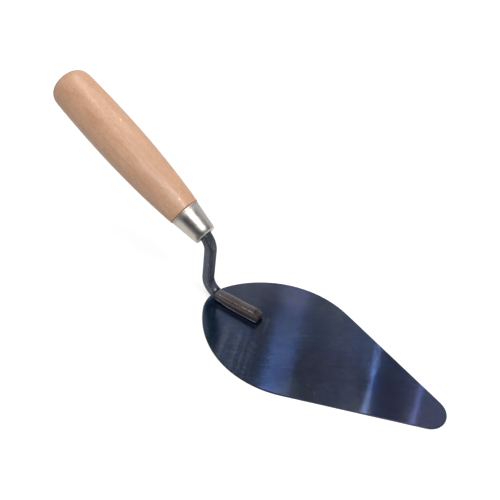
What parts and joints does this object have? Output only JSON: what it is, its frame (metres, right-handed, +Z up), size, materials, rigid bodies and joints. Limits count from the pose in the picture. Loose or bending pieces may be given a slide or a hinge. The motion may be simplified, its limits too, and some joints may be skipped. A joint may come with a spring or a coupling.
{
  "type": "brick trowel",
  "caption": "Small leaf-shaped masonry trowel: blued steel blade, bent neck rod welded on a pressed foot, plated ferrule and turned wooden grip.",
  "frame": {"origin": "on the blade's flat sole, on the plane of symmetry, halfway between the heel and the tip", "axes": "+X along the blade towards its tip, +Y across the blade to the user's left, +Z up from the sole towards the handle"},
  "size_m": [0.3051, 0.0944, 0.145],
  "materials": {
    "blued_steel": "blue-tempered, cross-brushed and polished, dark navy with a violet sheen",
    "weld_metal": "resistance-weld metal, dull grey-brown",
    "forged_steel": "tempered gunmetal, brown heat tint on the foot",
    "nickel_plate": "bright nickel plate",
    "beech": "turned beech, sanded and thinly lacquered, satin"
  },
  "bodies": {
    "root": {"blade": "blued_steel", "weld_nuggets": "weld_metal", "neck": "forged_steel", "ferrule": "nickel_plate", "handle": "beech"}
  },
  "joints": []
}
